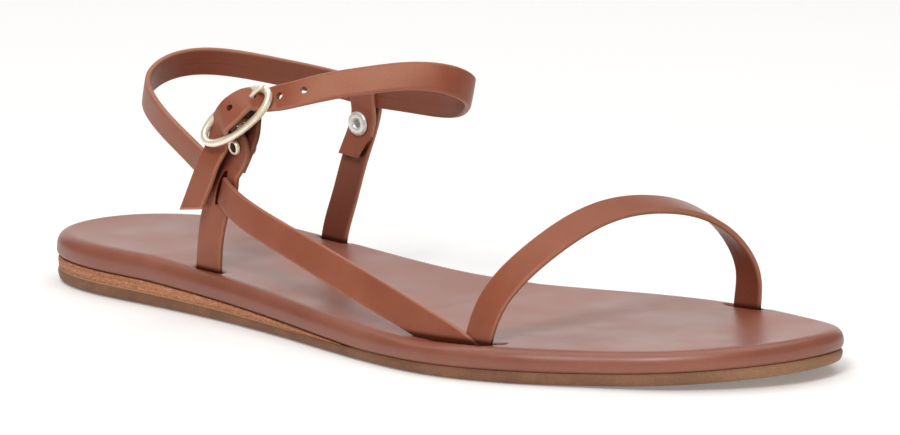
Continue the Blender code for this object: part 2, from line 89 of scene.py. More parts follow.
FOOTBED_EDGE = (
    # inset, height share
    (0.8, 0.00),
    (0.3, 0.08),
    (0.0, 0.33),
    (0.2, 0.60),
    (0.9, 0.82),
    (2.1, 0.96),
    (3.8, 1.00),
)
OUTSOLE_EDGE = (
    # inset, height share
    (2.2, 0.00),
    (0.7, 0.12),
    (0.0, 0.40),
    (0.0, 0.90),
    (0.25, 1.00),
)
WEDGE_EDGE = (
    # inset, height share
    (0.02, 0.00),
    (0.0, 0.12),
    (0.0, 0.88),
    (0.15, 1.00),
)
EDGE_HEIGHT = 6.3

# Slits along the footbed that the strap feet enter, and the leather drawn in and puckered round them
SLITS = (
    # x, y, half length, dip, drawn out ahead, drawn out behind, slant of the end ahead
    (177.9, -40.3, 4.7, 0.15, 1.7, 0.0, 1.4),
    (203.0, 40.3, 4.2, 0.15, 0.0, 2.2, 0.0),
    (172.6, -41.9, 7.6, 0.15, 0.0, 0.3, 0.0),
    (71.0, -27.0, 3.8, 0.15, 0.0, 0.0, 0.0),
    (68.5, 26.6, 3.8, 0.15, 0.0, 0.0, 0.0),
)
DIP_REACH = 2.4
POCKET_DEPTH = 0.9
POCKET_REACH = 1.0
PUCKER_REACH = 4.2
PUCKER_WIDTH = 1.6
PUCKER_RISE = 0.06
# Reach of the painted shade round each slit and round its drawn-out pocket
SLIT_SHADE_REACH = 1.7
POCKET_SHADE_REACH = 1.2

# Leather of the footbed pressed down where the straps leave it, and the pad's slight waves
PRESSED = (
    # x, y, reach, depth
    (166.0, -47.5, 13.0, 0.8),
)
PAD_WAVE = 0.05

# Shares of the footbed's height where its top begins and where the painted shade on its side ends,
# and where along the foot that painted shade fades out
TOP_SHARE = (0.7, 1.0)
SIDE_SHARE = (0.6, 0.95)
SIDE_SHADE = 0.13
SIDE_SHADE_END = (190.0, 235.0)

# Pale rubber: a line along the heel's upper edge and where it ends, and the sheet towards the toe
RIM_LINE = 0.8
RIM_HEIGHT = (0.86, 0.93)
RIM_END = (100.0, 125.0)
TOE_RIM = 0.3
TOE_RIM_START = 215.0

# Gathers of the wrapped leather under the heel, by the distance round the edge from the heel's back
HEEL_GATHERS = (
    # distance towards the outer side, slant, depth
    (-31.0, 0.5, 0.28),
    (-24.5, 0.6, 0.22),
    (-17.0, 0.4, 0.30),
    (-8.5, 0.2, 0.24),
    (3.0, -0.2, 0.26),
    (11.0, -0.4, 0.30),
    (16.5, -0.6, 0.34),
    (21.0, -0.7, 0.30),
    (26.0, -0.6, 0.26),
    (33.0, -0.5, 0.20),
)
GATHER_WIDTH = 0.75
GATHER_RIDGE = 0.45
GATHER_FADE = (0.12, 0.42)
GATHER_RIM = 0.97

# Straps: centre of the leather, the way its face looks and its width. Heading 0 looks to the outer side
# and 90 to the toe, lean is upwards, both in degrees.
THICKNESS = 1.6
CORNER = 0.62
POST_WIDTH = 8.6
FOOT_DEPTH = 3.4
# Painted shade darkening each strap just above the footbed: its depth and the height it reaches
FOOT_SHADE = 0.85
FOOT_SHADE_HEIGHT = 1.5
# Width of the pale band along strap edges: partly their paler finish, partly a painted highlight
PALE_EDGE_AND_HIGHLIGHT = 0.75
LINED_LOOK = -0.5
STRAP_CROWN = 0.10
STRAP_WAVES = (
    # rise, pace along, turn across
    (0.03, 9.3, 0.35),
    (0.012, 4.1, -0.6),
)
LINING_JOINTS = (
    # place across, half width, share of the depth
    (0.5, 0.16, 1.0),
    (-0.75, 0.14, 0.7),
)
JOINT_DEPTH = 0.09
TOE_STRAP = (
    # x, y, z, heading, lean, width
    (176.8, -40.3, 3.0, 0, 0, 8.6),
    (178.0, -40.3, 9.0, 0, 0, 8.6),
    (181.0, -38.0, 20.0, 6, 14, 8.4),
    (186.0, -32.2, 29.0, 16, 35, 8.4),
    (189.3, -25.0, 34.4, 28, 52, 8.6),
    (193.2, -8.0, 40.6, 70, 68, 8.6),
    (197.0, 11.0, 40.6, 115, 67, 8.6),
    (199.0, 20.0, 38.4, 135, 60, 8.6),
    (201.2, 28.5, 34.0, 152, 48, 8.6),
    (203.0, 35.5, 27.0, 165, 32, 8.6),
    (203.8, 39.6, 18.5, 174, 12, 8.6),
    (203.0, 40.3, 10.5, 180, 0, 8.6),
    (202.4, 40.3, 3.0, 180, 0, 8.6),
)
ANKLE_STRAP = (
    # x, y, z, heading, lean, width
    (184.0, -41.4, 0.6, 0, 6, 8.6),
    (171.5, -41.9, 8.0, 0, 6, 8.6),
    (164.5, -42.3, 10.8, 0, 8, 8.5),
    (155.0, -41.7, 13.7, 2, 12, 8.4),
    (133.0, -38.6, 19.2, 6, 17, 8.5),
    (111.7, -36.0, 24.8, 6, 16, 8.2),
    (98.0, -34.5, 28.5, 2, 12, 8.0),
    (88.0, -33.0, 31.6, -10, 8, 8.0),
    (82.6, -31.7, 33.9, -20, 6, 8.0),
    (78.2, -29.6, 36.0, -27, 5, 8.0),
    (74.0, -27.5, 37.8, -27, 4, 7.9),
    (69.0, -25.4, 39.8, -27, 3, 7.8),
    (49.6, -19.2, 47.3, -36, 3, 7.6),
    (36.9, -13.0, 51.6, -50, 8, 7.8),
    (28.3, -4.8, 55.5, -74, 15, 8.0),
    (26.9, 4.6, 58.6, -105, 18, 8.0),
    (30.4, 13.4, 59.7, -130, 14, 7.9),
    (38.0, 21.0, 58.8, -152, 8, 7.8),
    (48.0, 24.8, 57.6, -168, 5, 7.8),
    (61.5, 26.1, 56.7, -178, 5, 7.8),
    (72.0, 26.2, 56.0, -180, 3, 7.7),
    (81.0, 26.1, 55.3, -181, 2, 7.7),
    (94.7, 25.2, 55.2, -184, 5, 7.6),
    (104.0, 24.2, 55.4, -188, 4, 7.6),
    (116.3, 21.8, 56.8, -202, 0, 7.8),
    (124.4, 17.6, 60.0, -224, -8, 8.0),
    (130.0, 11.5, 63.6, -254, -4, 8.0),
    (130.0, 5.5, 66.5, -286, 10, 8.0),
    (125.0, -0.2, 68.0, -310, 20, 7.8),
    (112.7, -10.2, 66.8, -320, 25, 7.6),
    (102.5, -18.3, 64.5, -326, 27, 7.6),
)
TAIL = (
    # x, y, z, heading, lean, width
    (77.3, -32.9, 44.7, -366, 4, 7.3),
    (75.7, -33.3, 41.0, -366, 2, 7.5),
    (70.4, -33.4, 30.0, -370, 0, 7.5),
    (69.0, -33.4, 27.0, -370, 0, 7.5),
)
TAIL_CUT = (70.4, -33.4, 29.9)
TAIL_CUT_LOOK = (0.15, -0.03, -0.99)
TAIL_NEAR = 9.0
# Painted highlight along the tail's cut end: its strength and the band it lies in
TAIL_HIGHLIGHT = 2.0
TAIL_HIGHLIGHT_BAND = (-0.7, -0.2)
OUTER_POST = (
    # x, y, z, heading, lean, width
    (70.8, -27.0, 5.0, -1, 0, 8.8),
    (71.0, -27.0, 12.7, -1, 0, 8.8),
    (73.3, -28.5, 23.5, 1, 0, POST_WIDTH),
    (75.7, -29.3, 30.0, 3, 0, POST_WIDTH),
    (78.7, -29.7, 36.4, -3, 0, POST_WIDTH),
    (80.9, -29.8, 41.5, -8, 0, POST_WIDTH),
    (84.3, -29.7, 48.2, -10, 0, 8.4),
)
OUTER_POST_BACK = (
    # x, y, z, heading, lean, width
    (87.2, -27.8, 53.4, 165, 0, 8.0),
    (84.0, -27.5, 48.2, 172, 0, 8.4),
    (80.8, -27.4, 42.4, 172, 0, 8.4),
)
INNER_POST = (
    # x, y, z, heading, lean, width
    (68.2, 26.4, 5.0, -180, 0, 8.8),
    (68.5, 26.6, 12.9, -180, 0, 8.8),
    (71.5, 27.4, 24.4, -180, 0, POST_WIDTH),
    (75.0, 27.9, 35.9, -181, 0, POST_WIDTH),
    (78.6, 28.0, 45.5, -181, 0, POST_WIDTH),
    (80.6, 27.9, 53.2, -181, 0, POST_WIDTH),
)
INNER_POST_BACK = (
    # x, y, z, heading, lean, width
    (81.0, 24.3, 53.8, -1, 0, POST_WIDTH),
    (80.7, 24.8, 51.4, -1, 0, POST_WIDTH),
    (80.2, 25.6, 49.2, -1, 0, POST_WIDTH),
    (79.2, 26.0, 45.5, -1, 0, POST_WIDTH),
    (75.7, 25.8, 37.2, -1, 0, POST_WIDTH),
    (73.9, 25.7, 33.0, -1, 0, POST_WIDTH),
)
FLAP_CUTS = (
    # point, the way the cut-off side lies
    ((75.7, 25.8, 37.0), (-0.09, 0.0, -0.996)),
    ((78.7, 25.8, 36.8), (0.834, 0.0, -0.552)),
)
FLAP_NEAR = 7.0
FLAP_SIDE = 26.68
FOLD_CENTRE = (81.0, 26.1, 58.4)
FOLD_RADIUS = 1.8
LAYER_SPACING = 1.95

# Cut in the outer post that the ankle strap goes through, with painted shade in its throat and its frayed lip
SPLIT_MIDDLE = 33.0
SPLIT_HALF = 6.2
SPLIT_LIFT = 0.9
SPLIT_GAPE = 0.3
SPLIT_ASIDE = -0.05
SPLIT_REACH = 1.2
SPLIT_OPEN = (0.02, 0.2)
THROAT_ASIDE = -0.15
THROAT_HALF = 0.22
LIP_ASIDE = 0.45
LIP_REACH = 0.3
FRAY_PACES = (5.1, 2.3)

# Painted shade on the outer post under the tail and under the buckle
TAIL_SHADE = 0.75
TAIL_SHADE_ACROSS = (-1.6, 1.6)
TAIL_SHADE_ALONG = (28.0, 35.0)
BUCKLE_SHADE = 0.7
BUCKLE_SHADE_UP = (41.0, 53.0)

# Buckle
BUCKLE_CENTRE = (84.1, -30.5, 57.2)
BUCKLE_HEADING = 25.0
BUCKLE_SLOPE = 28.5
BUCKLE_LEAN = 35.0
BUCKLE_LENGTH = 23.6
BUCKLE_HEIGHT = 11.4
BUCKLE_TURN = 11.3
BUCKLE_DROP = 0.7
BUCKLE_ROUNDNESS = 0.95
WIRE = 2.1
BAR = 1.9
PRONG = 1.3
PRONG_TIP = 0.02
LOOP_RADIUS = 2.15
LOOP_LEAD = 2.2
LOOP_WIDTH = 7.6
LOOP_SLACK = 3.0
LOOP_BACK = 0.5
BUCKLE_PASS = (
    # along, out, across, roll, width
    (15.2, -2.9, -0.8, 0.0, 7.5),
    (11.2, -2.9, 0.3, 0.0, 7.2),
    (9.0, -2.1, 0.6, 0.08, 6.9),
    (6.9, -0.2, 1.1, 0.1, 7.0),
    (4.7, 2.2, 1.2, 0.12, 8.0),
    (0.9, 3.7, -0.5, 0.1, 8.6),
    (-3.0, 2.3, -1.0, 0.04, 8.4),
    (-6.5, -2.1, -1.8, -0.1, 7.2),
    (-9.2, -4.0, -3.9, -0.1, 6.8),
)
PRONG_PATH = (
    # along, out, across
    (2.1, 0.2, 0.6),
    (4.3, 0.8, 1.1),
    (6.5, 1.7, 1.7),
    (8.6, 2.3, 2.2),
    (11.0, 2.05, 2.6),
)

# Holes punched in the ankle strap: distance back from the end of its tail and place across it
HOLE = 1.9
HOLE_DEPTH = 3.0
HOLE_SIDES = 24
STRAP_HOLES = (
    # distance, aside
    (58.6, -0.2),
    (51.6, -0.2),
    (43.6, -0.5),
    (37.2, -0.4),
)

# Press studs: half width and height of the turned profiles
STUD_CAP = ((0.0, 0.1), (0.95, 0.1), (1.2, 0.3), (1.36, 0.7), (1.5, 0.95), (1.7, 1.02), (1.9, 0.9),
            (2.05, 0.6), (2.1, 0.25), (2.1, 0.0), (0.0, 0.0))
STUD_SOCKET = ((0.0, 0.4), (0.5, 0.36), (0.66, 0.14), (0.95, 0.1), (1.1, 0.16), (1.24, 0.4), (1.4, 0.55),
               (1.8, 0.62), (2.4, 0.64), (2.9, 0.56), (3.2, 0.38), (3.36, 0.16), (3.4, 0.0), (0.0, 0.0))
CAP_HOLLOW = 1.3
SOCKET_HOLLOW = 1.15
STUD_STEPS = 48
STUD_GAP = 0.3
SOCKET_GAP = 0.6
OUTER_STUD_Z = 48.5
INNER_STUD_Z = 46.6

# Fineness: points round each layer of the sole, and its rows below, round the edge and on top
OUTLINE_SAMPLES = 6001
FOOTBED_ROUND = 1100
FOOTBED_ROWS = (5, 20, 60)
OUTSOLE_ROUND = 700
OUTSOLE_ROWS = (6, 16, 6)
WEDGE_ROUND = 600
WEDGE_ROWS = (5, 12, 5)
WEDGE_FRONT = 200
HEEL_CROWD = 2.0
HEEL_CROWD_REACH = 45.0
RIM_CROWD = 1.4

# Fineness of straps and metal
FACE_STEPS = 12
CORNER_STEPS = 5
FOLD_STEPS = 4
TANGENT_STEP = 0.05
SEARCH_STEP = 0.5
MERGE = 1e-4
SHARP_ANGLE = math.radians(38)
WIRE_SIDES = 24
BUCKLE_STEPS = 160
BAR_STEPS = 24
PRONG_STEPS = 60

# Studio, in metres
SOFT_BOXES = (
    # name, place, target, size, power
    ("top_box", (-0.1, 0.15, 1.3), (0, 0, 0), (1.8, 1.4), 11.0),
    ("key_box", (0.67, -1.32, 1.34), (0, 0, 0.03), (0.6, 0.6), 19.0),
    ("back_box", (-1.6, 1.85, 0.6), (0, 0, 0), (3.2, 1.4), 15.0),
)
ROOM_LIGHT = 0.2
FLOOR_GLOW = 0.2
FLOOR_HALF = 4.0

# Camera at the photo's angle: degrees, metres, and a focal length in pixels of the picture
AZIMUTH = 41.0
ELEVATION = 11.6
STAND_OFF = 2.2
FOOT_MIDDLE = (0.0, 0.00219, 0.0)
AIM = (0.0049, 0.00652, 0.0297)
SENSOR = 36.0
FOCAL_PIXELS = 8206.0
PICTURE_WIDTH = 900.0
CLIP_START = 0.1
CLIP_END = 20.0


# Curves
def natural_slopes(knots, values, periodic):
    """Slopes of a cubic spline through values at the knots, open or closed."""
    count = len(knots)
    steps = np.diff(knots)
    rows = np.zeros((count, count))
    right = np.zeros((count, values.shape[1]))
    for i in range(1, count - 1):
        before, after = steps[i - 1], steps[i]
        rows[i, i - 1:i + 2] = (1.0 / before, 2.0 * (1.0 / before + 1.0 / after), 1.0 / after)
        rise = (values[i] - values[i - 1]) / before ** 2
        right[i] = 3.0 * (rise + (values[i + 1] - values[i]) / after ** 2)
    if periodic:
        before, after = steps[-1], steps[0]
        rows[0, -2] = 1.0 / before
        rows[0, :2] = (2.0 * (1.0 / before + 1.0 / after), 1.0 / after)
        right[0] = 3.0 * ((values[0] - values[-2]) / before ** 2 + (values[1] - values[0]) / after ** 2)
        rows[-1, 0], rows[-1, -1] = 1.0, -1.0
    else:
        rows[0, :2] = (2.0, 1.0)
        right[0] = 3.0 * (values[1] - values[0]) / steps[0]
        rows[-1, -2:] = (1.0, 2.0)
        right[-1] = 3.0 * (values[-1] - values[-2]) / steps[-1]
    return np.linalg.solve(rows, right)


def spline(points, guide=3, periodic=False):
    """A smooth curve through rows of numbers; the first guide columns set its pace."""
    values = np.asarray(points, float)
    if periodic:
        values = np.vstack([values, values[:1]])
    knots = np.r_[0.0, np.cumsum(np.linalg.norm(np.diff(values[:, :guide], axis=0), axis=1))]
    slopes = natural_slopes(knots, values, periodic)

    def at(place):
        place = np.atleast_1d(np.asarray(place, float))
        span = np.clip(np.searchsorted(knots, place, side="right") - 1, 0, len(knots) - 2)
        width = (knots[span + 1] - knots[span])[:, None]
        t = (place - knots[span])[:, None] / width
        rise, fall = slopes[span] * width, slopes[span + 1] * width
        start = (1 + 2 * t) * (1 - t) ** 2 * values[span] + t * (1 - t) ** 2 * rise
        return start + t ** 2 * (3 - 2 * t) * values[span + 1] + t ** 2 * (t - 1) * fall

    return at, knots[-1]


def bump_at(distance, reach):
    """A soft hill of height 1 over a distance."""
    return np.exp(-(distance / reach) ** 2)


def smooth_share(value, low, high):
    """0 below low, 1 above high and smooth between."""
    share = np.clip((value - low) / (high - low), 0.0, 1.0)
    return share * share * (3 - 2 * share)


def uneven(wave):
    """A strength that a wave between -1 and 1 takes from a fifth to all."""
    return 0.6 + 0.4 * wave


# Materials
# Dark brown painted into the leather as shade: at the slits, the strap feet, the outer post's cut, under the
# tail and the buckle, and faintly on the footbed's side
PAINTED_SHADE_BROWN = "#330F06"


def linear(colour):
    """An sRGB hex colour as linear red, green, blue and alpha."""
    shares = [int(colour[i:i + 2], 16) / 255 for i in (1, 3, 5)]
    return (*[s / 12.92 if s <= 0.04045 else ((s + 0.055) / 1.055) ** 2.4 for s in shares], 1.0)


def plug(tree, node, links):
    """Plug other sockets into a node's own."""
    for key, source in links.items():
        tree.links.new(source, node.inputs[key])


def add(tree, kind, settings=None, links=None):
    """Add a shader node, set its sockets or properties and plug other sockets into it."""
    made = tree.nodes.new("ShaderNode" + kind)
    for key, value in (settings or {}).items():
        if key == "ramp":
            stops = made.color_ramp.elements
            while len(stops) < len(value):
                stops.new(1.0)
            for stop, (place, colour) in zip(stops, value):
                stop.position, stop.color = place, linear(colour)
        elif key in made.inputs.keys() or isinstance(key, int):
            made.inputs[key].default_value = value
        else:
            setattr(made, key, value)
    plug(tree, made, links or {})
    return made


def per_mm(size):
    """Texture scale whose features are about a size in millimetres."""
    return 1.0 / (size * MM)


def blank(name, settings):
    """A material with one shader, its constant values set on the shader's own sockets."""
    made = bpy.data.materials.new(name)
    made.use_nodes = True
    shader = made.node_tree.nodes["Principled BSDF"]
    for key, value in settings.items():
        shader.inputs[key].default_value = value
    return made, made.node_tree, shader


def calf(name, tones, lining, edge, settings, grain, relief):
    """Drum-dyed calf with a pressed finish: even brown, faint cloudy dye, fine pores, a satin sheen.

    The edge attribute pales the turned edges, partly their paler finish and partly a painted highlight, the
    frayed lip of the outer post's cut, and, as a painted highlight, the tail's cut end. The inside attribute
    takes the lining's tone, and the painted-shade attribute paints shade: it darkens and dulls the leather
    where it dives into a slit, in the throat of the outer post's cut, under the tail and the buckle, and a
    little on the footbed's side. Real pores are finer: they are drawn as coarse as they need to show.
    """
    made, tree, shader = blank(name, settings)
    place = add(tree, "TexCoord").outputs["Object"]
    cloud = add(tree, "TexNoise", {"Scale": per_mm(16), "Detail": 3.0, "Roughness": 0.5}, {"Vector": place})
    pores = add(tree, "TexVoronoi", {"Scale": per_mm(grain), "Randomness": 1.0}, {"Vector": place})
    fine = add(tree, "TexNoise", {"Scale": per_mm(grain * 0.7), "Detail": 3.0}, {"Vector": place})
    dye = add(tree, "ValToRGB", {"ramp": tones}, {"Fac": cloud.outputs["Fac"]})
    inside = add(tree, "Attribute", {"attribute_name": "inside"}).outputs["Fac"]
    edges = add(tree, "Attribute", {"attribute_name": "edge"}).outputs["Fac"]
    lined = add(tree, "MixRGB", {"Color2": linear(lining)}, {"Fac": inside, "Color1": dye.outputs["Color"]})
    # Pale band along the edges: partly a paler edge finish, partly a painted highlight
    pale = add(tree, "Math", {"operation": "MULTIPLY", 1: 0.5}, {0: edges})
    edged = add(tree, "MixRGB", {"Color2": linear(edge)},
                {"Fac": pale.outputs[0], "Color1": lined.outputs[0]})
    # Painted shade: darken towards a dark brown where the painted-shade attribute is set
    foot = add(tree, "Attribute", {"attribute_name": "foot"}).outputs["Fac"]
    with_painted_shade = add(tree, "MixRGB", {"Color2": linear(PAINTED_SHADE_BROWN)}, {"Fac": foot, "Color1": edged.outputs[0]})
    speck = add(tree, "MapRange", {"From Min": 0.3, "From Max": 0.7, "To Min": 0.93, "To Max": 1.05},
                {"Value": fine.outputs["Fac"]})
    flecked = add(tree, "MixRGB", {"blend_type": "MULTIPLY", "Fac": 1.0},
                  {"Color1": with_painted_shade.outputs[0], "Color2": speck.outputs[0]})
    shine = shader.inputs["Specular IOR Level"].default_value
    sheen = add(tree, "MapRange", {"From Min": SIDE_SHADE, "From Max": 0.8, "To Min": shine, "To Max": 0.0},
                {"Value": foot})
    rough = shader.inputs["Roughness"].default_value
    gloss = add(tree, "MapRange", {"From Min": 0.3, "From Max": 0.7, "To Min": rough - 0.05,
                                   "To Max": rough + 0.07}, {"Value": cloud.outputs["Fac"]})
    height = add(tree, "MixRGB", {"Fac": 0.45},
                 {"Color1": pores.outputs["Distance"], "Color2": fine.outputs["Fac"]})
    bump = add(tree, "Bump", {"Strength": relief, "Distance": 0.05 * MM}, {"Height": height.outputs[0]})
    plug(tree, shader, {"Base Color": flecked.outputs[0], "Specular IOR Level": sheen.outputs[0],
                        "Roughness": gloss.outputs[0], "Normal": bump.outputs[0]})
    return made


def raw_leather():
    """Split leather board, sawn and sanded: fibres and dark flecks in level layers, quite matt."""
    made, tree, shader = blank("sawn_leather_board", {"Roughness": 0.82})
    place = add(tree, "TexCoord").outputs["Object"]
    level = add(tree, "Mapping", {"Scale": (1.0, 1.0, 3.2)}, {"Vector": place})
    fibre = add(tree, "TexNoise", {"Scale": per_mm(1.1), "Detail": 6.0, "Roughness": 0.7},
                {"Vector": level.outputs[0]})
    layers = add(tree, "TexNoise", {"Scale": per_mm(5.0), "Detail": 2.0},
                 {"Vector": add(tree, "Mapping", {"Scale": (0.15, 0.15, 6.0)}, {"Vector": place}).outputs[0]})
    tone = add(tree, "ValToRGB", {"ramp": ((0.3, "#77422E"), (0.43, "#AD6E4B"), (0.56, "#C4845F"),
                                           (0.7, "#DDB098"))}, {"Fac": fibre.outputs["Fac"]})
    band = add(tree, "MapRange", {"From Min": 0.35, "From Max": 0.65, "To Min": 0.82, "To Max": 1.1},
               {"Value": layers.outputs["Fac"]})
    mixed = add(tree, "MixRGB", {"blend_type": "MULTIPLY", "Fac": 1.0},
                {"Color1": tone.outputs[0], "Color2": band.outputs[0]})
    bump = add(tree, "Bump", {"Strength": 0.7, "Distance": 0.25 * MM}, {"Height": fibre.outputs["Fac"]})
    plug(tree, shader, {"Base Color": mixed.outputs[0], "Normal": bump.outputs[0]})
    return made


def rubber():
    """Brown sheet rubber, cut and buffed at the edge: matt, faintly speckled, paler along a line at the
    heel's upper edge and towards the toe.

    Real grit is finer: it is drawn as coarse as it needs to show.
    """
    made, tree, shader = blank("buffed_sheet_rubber", {"Roughness": 0.62, "Specular IOR Level": 0.4})
    place = add(tree, "TexCoord").outputs["Object"]
    cloud = add(tree, "TexNoise", {"Scale": per_mm(14), "Detail": 5.0, "Roughness": 0.65}, {"Vector": place})
    grit = add(tree, "TexNoise", {"Scale": per_mm(0.5), "Detail": 2.0}, {"Vector": place})
    tone = add(tree, "ValToRGB", {"ramp": ((0.3, "#714B36"), (0.5, "#835940"), (0.7, "#92674A"))},
               {"Fac": cloud.outputs["Fac"]})
    rim = add(tree, "Attribute", {"attribute_name": "rim"}).outputs["Fac"]
    rim_paled = add(tree, "MixRGB", {"Color2": linear("#C79A72")}, {"Fac": rim, "Color1": tone.outputs[0]})
    speck = add(tree, "MapRange", {"From Min": 0.3, "From Max": 0.7, "To Min": 0.86, "To Max": 1.1},
                {"Value": grit.outputs["Fac"]})
    mixed = add(tree, "MixRGB", {"blend_type": "MULTIPLY", "Fac": 1.0},
                {"Color1": rim_paled.outputs[0], "Color2": speck.outputs[0]})
    bump = add(tree, "Bump", {"Strength": 0.35, "Distance": 0.15 * MM}, {"Height": grit.outputs["Fac"]})
    plug(tree, shader, {"Base Color": mixed.outputs[0], "Normal": bump.outputs[0]})
    return made


def plated(name, bright, dull, roughness):
    """Plated brass wire or pressing, polished: clear reflections, faint rubbed patches."""
    made, tree, shader = blank(name, {"Metallic": 0.5, "Roughness": roughness})
    place = add(tree, "TexCoord").outputs["Object"]
    worn = add(tree, "TexNoise", {"Scale": per_mm(2.2), "Detail": 5.0}, {"Vector": place})
    tone = add(tree, "ValToRGB", {"ramp": ((0.35, dull), (0.6, bright))}, {"Fac": worn.outputs["Fac"]})
    gloss = add(tree, "MapRange", {"From Min": 0.35, "From Max": 0.7, "To Min": roughness + 0.08,
                                   "To Max": roughness - 0.04}, {"Value": worn.outputs["Fac"]})
    bump = add(tree, "Bump", {"Strength": 0.2, "Distance": 0.08 * MM}, {"Height": worn.outputs["Fac"]})
    plug(tree, shader, {"Base Color": tone.outputs[0], "Roughness": gloss.outputs[0],
                        "Normal": bump.outputs[0]})
    return made


# Strap calf: a warm satin sheen on a pebbled face, and pale turned edges, partly their finish and partly a
# painted highlight
WARM_SATIN = {"Roughness": 0.4, "Specular IOR Level": 0.5, "Specular Tint": linear("#FFDCC0")}
STRAP_CALF = calf("chestnut_strap_calf", ((0.3, "#904F3A"), (0.5, "#96543E"), (0.7, "#9C5A44")), "#854937",
                  "#C28A70", WARM_SATIN, grain=0.5, relief=0.9)
# Footbed calf: smoother and glossier, for broad soft lights on the padded top
FOOTBED_CALF = calf("satin_footbed_calf", ((0.3, "#8F503C"), (0.5, "#955540"), (0.7, "#9B5B46")), "#7A4434",
                    "#A46A54", {"Roughness": 0.39, "Specular IOR Level": 0.7}, grain=0.7, relief=0.2)
# Cut ends of the straps: raw fibres, paler and quite matt
CUT_EDGE = calf("cut_leather_edge", ((0.3, "#7E4A36"), (0.5, "#A26A50"), (0.7, "#C79A80")), "#A26A50",
                "#A26A50", {"Roughness": 0.8}, grain=0.4, relief=0.8)
BOARD = raw_leather()
RUBBER = rubber()
# Bright plate on the wire and the studs; dull plate in the studs' hollows, darkened as painted shade
PALE_GOLD = plated("pale_gold_plate", "#FFF6E4", "#F6E6C6", 0.3)
NICKEL = plated("nickel_plate", "#F6F4F0", "#E6E4DF", 0.3)
BRASS_HOLLOW_SHADE = plated("dull_brass_hollow_painted_shade", "#4A3A28", "#2A1D12", 0.45)
NICKEL_HOLLOW_SHADE = plated("dull_nickel_hollow_painted_shade", "#A09C95", "#7A766F", 0.4)


# Meshes
def skin(along_steps, around_steps, shape, marks=None):
    """A flat grid bent into a closed form: shape places the grid's rows and columns in millimetres."""
    bm = bmesh.new()
    bmesh.ops.create_grid(bm, x_segments=along_steps, y_segments=around_steps, size=0.5)
    flat = np.array([vert.co for vert in bm.verts])
    row = np.rint((flat[:, 0] + 0.5) * along_steps).astype(int)
    column = np.rint((flat[:, 1] + 0.5) * around_steps).astype(int)
    points = shape(row, column)
    for vert, point in zip(bm.verts, points):
        vert.co = point
    for name, values in (marks(row, column) if marks else {}).items():
        layer = bm.verts.layers.float.new(name)
        for vert, value in zip(bm.verts, values):
            vert[layer] = value
    bmesh.ops.remove_doubles(bm, verts=bm.verts, dist=MERGE)
    return bm


def close_ends(bm, finish_index=0):
    """Fill the open ends of a tube."""
    rims = [edge for edge in bm.edges if edge.is_boundary]
    for face in bmesh.ops.holes_fill(bm, edges=rims, sides=0)["faces"]:
        face.material_index = finish_index


OUTER_SIDE = [(x, outer) for x, outer, _ in OUTLINE]
INNER_SIDE = [(x, inner) for x, _, inner in OUTLINE]
OUTLINE_CLOSED = [HEEL_BACK, *OUTER_SIDE, TOE_TIP, *INNER_SIDE[::-1]]
OUTLINE_CURVE, OUTLINE_PACE = spline(OUTLINE_CLOSED, guide=2, periodic=True)
EDGE_LINE = OUTLINE_CURVE(np.linspace(0.0, OUTLINE_PACE, OUTLINE_SAMPLES))
SIDE_MIDDLE = (EDGE_LINE[:, 1].min() + EDGE_LINE[:, 1].max()) / 2
TO_FRAME = Matrix.Translation((-LENGTH / 2 * MM, -SIDE_MIDDLE * MM, 0.0)) @ Matrix.Scale(MM, 4)


def placed(name, bm):
    """A new object in the scene from a mesh."""
    data = bpy.data.meshes.new(name)
    bm.to_mesh(data)
    bm.free()
    made = bpy.data.objects.new(name, data)
    bpy.context.scene.collection.objects.link(made)
    return made


def carried(name, bm):
    """A new object from a mesh that is carried from the tables' millimetres to the frame."""
    bmesh.ops.recalc_face_normals(bm, faces=bm.faces)
    bmesh.ops.transform(bm, matrix=TO_FRAME, verts=bm.verts)
    return placed(name, bm)


def piece(name, bm, finishes, node):
    """A finished piece that stands for a solid."""
    made = carried(name, bm)
    made.data.shade_smooth()
    made.data.set_sharp_from_angle(angle=SHARP_ANGLE)
    for finish in finishes:
        made.data.materials.append(finish)
    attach(made, "root")
    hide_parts(node)
    return made


def cut(made, cutters):
    """Cut shapes, given in the tables' millimetres, out of a finished piece."""
    for bm in cutters:
        tool = carried("cutter", bm)
        step = made.modifiers.new("cut", "BOOLEAN")
        step.operation = "DIFFERENCE"
        step.object = tool
        bpy.context.view_layer.update()
        graph = bpy.context.evaluated_depsgraph_get()
        found = bpy.data.meshes.new_from_object(made.evaluated_get(graph))
        made.modifiers.clear()
        made.data = found
        bpy.data.objects.remove(tool, do_unlink=True)
    made.data.set_sharp_from_angle(angle=SHARP_ANGLE)


# Sole
def layer(station, column):
    """Thickness of a layer at the stations: 1 outsole, 2 wedge, 3 footbed."""
    table = np.array(LAYERS)
    return np.interp(station, table[:, 0], table[:, column])


def floor_height(station):
    """Underside of the outsole: on the floor, then rising to the toe."""
    share = np.clip((station - SPRING_START) / (LENGTH - SPRING_START), 0.0, 1.0)
    return TOE_SPRING * share ** 2


def outsole_top(station):
    """Top of the outsole."""
    return floor_height(station) + layer(station, 1)


def footbed_bottom(station):
    """Underside of the footbed, on the wedge or on the outsole."""
    return outsole_top(station) + layer(station, 2) + GAP


def footbed_top(station):
    """Top of the footbed, without its relief."""
    return footbed_bottom(station) + layer(station, 3) - GAP


def inwards(line):
    """Directions square to a closed line that look to its inside."""
    along = np.roll(line, -1, 0) - np.roll(line, 1, 0)
    along /= np.linalg.norm(along, axis=1)[:, None]
    return np.c_[-along[:, 1], along[:, 0]]


def inset_line(line, distance):
    """Move a closed line inwards."""
    return line + inwards(line) * distance


